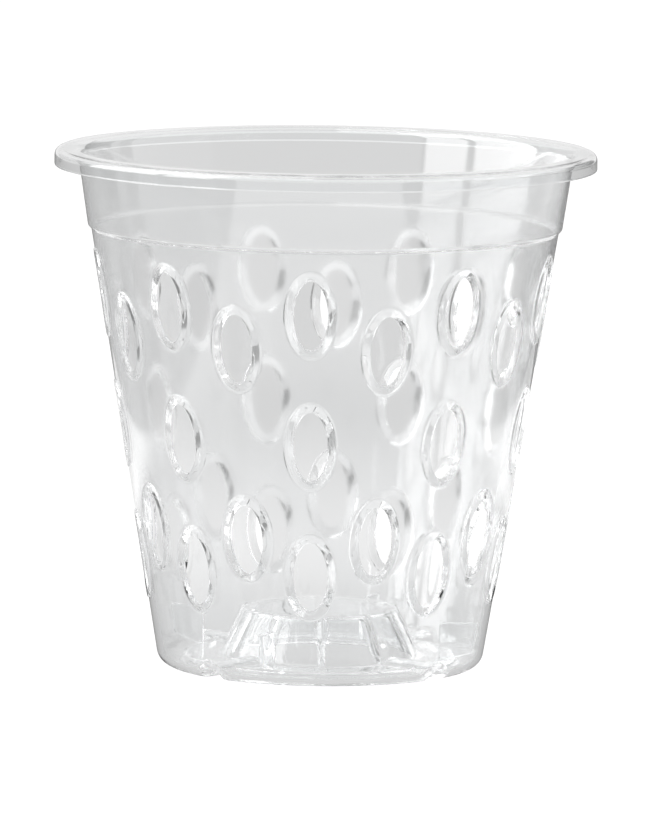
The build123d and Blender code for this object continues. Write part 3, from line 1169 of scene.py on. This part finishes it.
def studio_world(looks):
    """The light all round: white to the camera, and pale grey with soft panels to all else."""
    world = bpy.data.worlds.new("studio_world")
    bpy.context.scene.world = world
    world.use_nodes = True
    tree = world.node_tree
    tree.nodes.clear()
    place = add_node(tree, "ShaderNodeTexCoord", {}).outputs["Generated"]
    parts = add_node(tree, "ShaderNodeSeparateXYZ", {"Vector": place}).outputs
    back = calculate(tree, "MULTIPLY", parts["Y"], -1.0)
    turn = calculate(tree, "DEGREES", calculate(tree, "ARCTAN2", parts["X"], back))
    height = calculate(tree, "DEGREES", calculate(tree, "ARCSINE", parts["Z"]))
    tone = STUDIO_TONE
    for left, right, low, high, brightness in STUDIO_PANELS:
        panel_width = band_mask(tree, turn, left, right, PANEL_SOFTNESS)
        panel_height = band_mask(tree, height, low, high, PANEL_SOFTNESS)
        panel = calculate(tree, "MULTIPLY", panel_width, panel_height)
        tone = calculate(tree, "MULTIPLY_ADD", panel, brightness, tone)
    ray = add_node(tree, "ShaderNodeLightPath", {}).outputs
    glow = add_node(tree, "ShaderNodeBackground", {
        "Color": (*looks.backdrop, 1.0),
        "Strength": mix_number(tree, ray["Is Camera Ray"], tone, 1.0),
    })
    add_node(tree, "ShaderNodeOutputWorld", {"Surface": glow.outputs["Background"]})


def studio_camera(looks):
    """The camera: level distance and turn round the axis, then its dip, its yaw and its roll."""
    data = bpy.data.cameras.new("studio_camera")
    data.lens = looks.lens
    data.sensor_width = SENSOR_WIDTH
    data.clip_end = CLIP_END
    camera = bpy.data.objects.new("studio_camera", data)
    bpy.context.scene.collection.objects.link(camera)
    turn = looks.camera_turn
    right = np.array([math.cos(turn), math.sin(turn), 0.0])
    inward = np.array([-math.sin(turn), math.cos(turn), 0.0])
    up = np.array([0.0, 0.0, 1.0])
    level = math.sin(looks.camera_yaw) * right + math.cos(looks.camera_yaw) * inward
    forward = math.cos(looks.camera_dip) * level - math.sin(looks.camera_dip) * up
    across = math.cos(looks.camera_yaw) * right - math.sin(looks.camera_yaw) * inward
    over = np.cross(across, forward)
    rolled = math.cos(looks.camera_roll) * across + math.sin(looks.camera_roll) * over
    over = math.cos(looks.camera_roll) * over - math.sin(looks.camera_roll) * across
    place = -looks.camera_distance * inward + looks.camera_height * up
    rows = np.column_stack([rolled, over, -forward, place])
    camera.matrix_world = Matrix([*rows.tolist(), [0.0, 0.0, 0.0, 1.0]])
    bpy.context.scene.camera = camera


def studio_lamp():
    """A soft overhead lamp that gives the floor its shadow."""
    data = bpy.data.lights.new("soft_overhead", "AREA")
    data.shape = "RECTANGLE"
    data.size = LAMP_SIDE
    data.size_y = LAMP_SIDE
    data.energy = LAMP_POWER
    lamp = bpy.data.objects.new("soft_overhead", data)
    lamp.location = LAMP_PLACE
    lamp.rotation_euler = LAMP_TILT
    lamp.visible_camera = False
    bpy.context.scene.collection.objects.link(lamp)


class POT_OT_stage(Operator):
    """Builds the white studio: the floor, the light and the camera"""

    bl_idname = "object.orchid_pot_stage"
    bl_label = "White Studio"

    def execute(self, context):
        looks = context.scene.pot_studio
        reach = np.linspace(-looks.floor_reach, looks.floor_reach, FLOOR_POINTS)
        x, y = np.meshgrid(reach, reach)
        points = np.stack([x, y, np.full_like(x, -FLOOR_GAP)], axis=-1)
        mesh = bpy.data.meshes.new("studio_floor")
        faces = grid_faces(FLOOR_POINTS, FLOOR_POINTS, closed=False)
        mesh.from_pydata(points.reshape(-1, 3), [], faces)
        floor = bpy.data.objects.new("studio_floor", mesh)
        mesh.materials.append(studio_floor_material(looks))
        context.scene.collection.objects.link(floor)
        studio_world(looks)
        studio_lamp()
        studio_camera(looks)
        context.scene.view_settings.view_transform = "Standard"
        context.scene.cycles.max_bounces = LIGHT_BOUNCES
        context.scene.cycles.transmission_bounces = LIGHT_BOUNCES
        context.scene.cycles.glossy_bounces = LIGHT_BOUNCES
        return {"FINISHED"}


class POT_PT_sidebar(Panel):
    """Lists the pot's pieces and its studio"""

    bl_label = "Orchid Pot"
    bl_idname = "POT_PT_sidebar"
    bl_space_type = "VIEW_3D"
    bl_region_type = "UI"
    bl_category = "Orchid Pot"

    def draw(self, context):
        for operator in OPERATORS:
            self.layout.operator(operator.bl_idname)


GROUPS = {
    "pot_rim": RimSizes,
    "pot_slots": SlotSizes,
    "pot_base": BaseSizes,
    "pot_plastic": PlasticLooks,
    "pot_studio": StudioLooks,
}
OPERATORS = (POT_OT_shell, POT_OT_lugs, POT_OT_stage)


def register():
    """Registers the sizes, the looks, the operators and the panel."""
    for name, group in GROUPS.items():
        bpy.utils.register_class(group)
        setattr(bpy.types.Scene, name, PointerProperty(type=group))
    for operator in OPERATORS:
        bpy.utils.register_class(operator)
    bpy.utils.register_class(POT_PT_sidebar)


def unregister():
    """Takes away what register added."""
    bpy.utils.unregister_class(POT_PT_sidebar)
    for operator in reversed(OPERATORS):
        bpy.utils.unregister_class(operator)
    for name, group in GROUPS.items():
        delattr(bpy.types.Scene, name)
        bpy.utils.unregister_class(group)


def main():
    """Builds the pot and its studio."""
    register()
    bpy.ops.object.orchid_pot_shell()
    bpy.ops.object.orchid_pot_lugs()
    bpy.ops.object.orchid_pot_stage()


if __name__ == "__main__":
    main()
